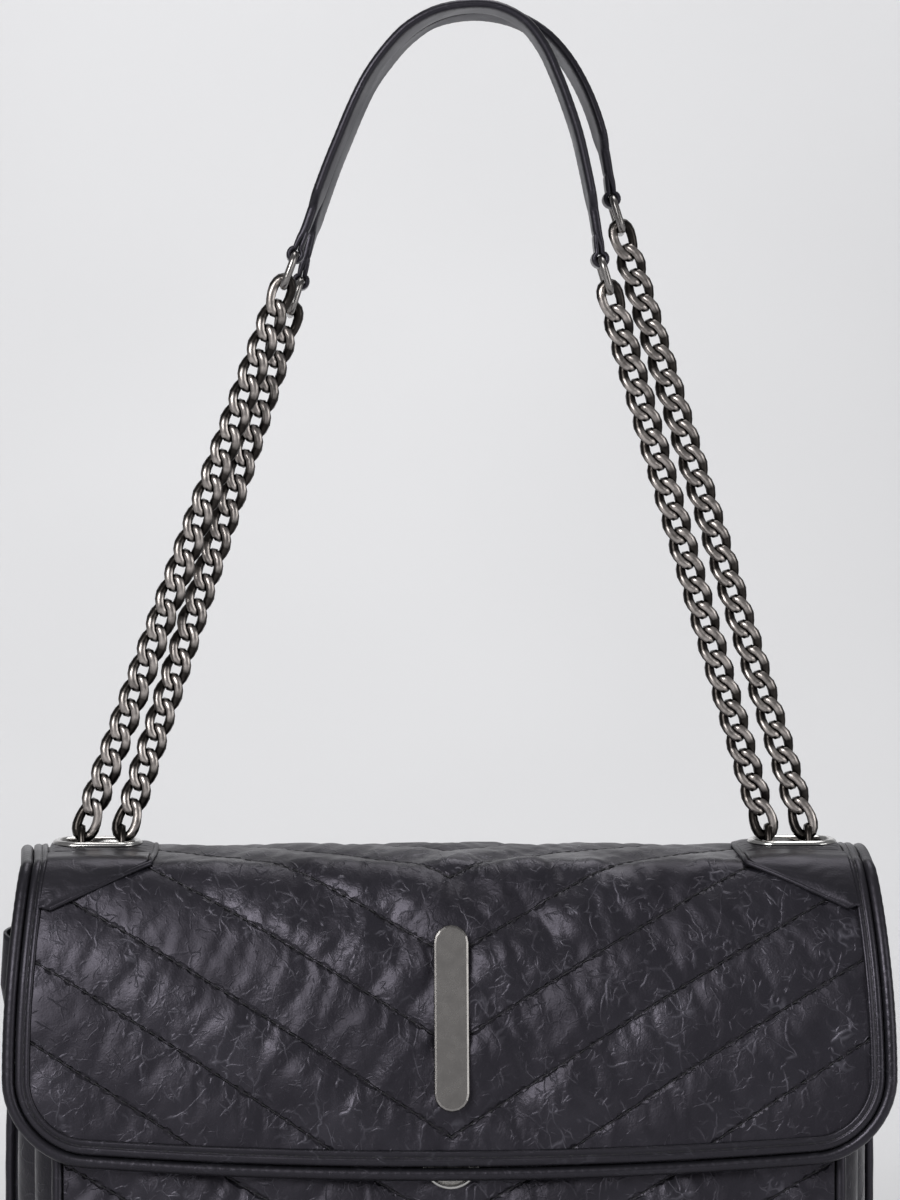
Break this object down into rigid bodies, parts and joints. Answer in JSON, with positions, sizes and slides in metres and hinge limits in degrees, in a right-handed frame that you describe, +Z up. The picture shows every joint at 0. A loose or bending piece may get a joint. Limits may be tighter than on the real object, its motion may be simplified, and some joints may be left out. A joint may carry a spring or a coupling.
{
  "type": "quilted chain-strap flap bag",
  "caption": "Chevron-quilted leather flap bag on a doubled chain-and-leather strap, with a magnetic snap, pleated gussets, oval eyelets and a zipped inner pocket",
  "frame": {"origin": "the underside of the strap's crown, where the bag hangs, on the bag's centre line", "axes": "+Z up, the bag's front with its flap faces -Y, +X to the right as seen in the picture"},
  "size_m": [0.284, 0.0938, 0.4705],
  "materials": {
    "crinkled_leather": "black crinkled calf leather with a soft sheen, quilted in chevrons",
    "smooth_leather": "smooth black calf leather",
    "gusset_leather": "soft black leather, pleated",
    "strap_leather": "smooth black strap leather with dark painted edges",
    "lining_cloth": "dark woven grosgrain lining",
    "base_board": "stiff fibre board",
    "aged_gunmetal": "dark aged gunmetal plating, softly worn at the edges",
    "eyelet_metal": "smooth nickel-coloured metal",
    "zip_metal": "dull metal zip"
  },
  "bodies": {
    "carrying_strap": {"front_shoulder_strap": "strap_leather", "rear_shoulder_strap": "strap_leather", "front_left_end_link": "aged_gunmetal", "front_right_end_link": "aged_gunmetal", "rear_left_end_link": "aged_gunmetal", "rear_right_end_link": "aged_gunmetal", "front_left_chain": "aged_gunmetal", "front_right_chain": "aged_gunmetal", "rear_left_chain": "aged_gunmetal", "rear_right_chain": "aged_gunmetal"},
    "bag_body": {"base_panel": "smooth_leather", "base_board": "base_board", "front_panel": "crinkled_leather", "back_panel": "crinkled_leather", "left_gusset": "gusset_leather", "right_gusset": "gusset_leather", "left_front_piping": "smooth_leather", "right_front_piping": "smooth_leather", "left_back_piping": "smooth_leather", "right_back_piping": "smooth_leather", "mouth_binding": "smooth_leather", "top_panel": "crinkled_leather", "left_eyelet": "eyelet_metal", "right_eyelet": "eyelet_metal", "left_eyelet_patch": "smooth_leather", "right_eyelet_patch": "smooth_leather", "left_eyelet_washer": "eyelet_metal", "right_eyelet_washer": "eyelet_metal", "front_lining": "lining_cloth", "back_lining": "lining_cloth", "pocket_pouch": "lining_cloth", "zip_tape": "lining_cloth", "zip_teeth": "zip_metal", "upper_inner_chain": "aged_gunmetal", "lower_inner_chain": "aged_gunmetal", "snap_socket": "eyelet_metal"},
    "flap": {"flap_panel": "crinkled_leather", "flap_lining": "lining_cloth", "flap_binding": "smooth_leather", "left_flap_patch": "smooth_leather", "right_flap_patch": "smooth_leather", "left_patch_piping": "smooth_leather", "right_patch_piping": "smooth_leather", "flap_ornament": "aged_gunmetal", "upper_ornament_washer": "aged_gunmetal", "lower_ornament_washer": "aged_gunmetal", "snap_stud": "eyelet_metal"},
    "zip_slider": {"zip_slider": "zip_metal"},
    "zip_puller": {"zip_puller": "zip_metal"}
  },
  "joints": [
    {"name": "bag_swing", "type": "hinge", "parent": "carrying_strap", "child": "bag_body", "pos_m": [0, -0.002, -0.26495], "axis": [1, 0, 0], "range_deg": [-25, 60]},
    {"name": "flap_lift", "type": "hinge", "parent": "bag_body", "child": "flap", "pos_m": [0, -0.026, -0.273], "axis": [-1, 0, 0], "range_deg": [0, 140]},
    {"name": "zip_slide", "type": "slide", "parent": "bag_body", "child": "zip_slider", "axis": [1, 0, 0], "range_m": [-0.13, 0]},
    {"name": "zip_pull_swing", "type": "hinge", "parent": "zip_slider", "child": "zip_puller", "pos_m": [0.065, 0.02264, -0.32013], "axis": [-1, 0, 0], "range_deg": [0, 135]}
  ]
}
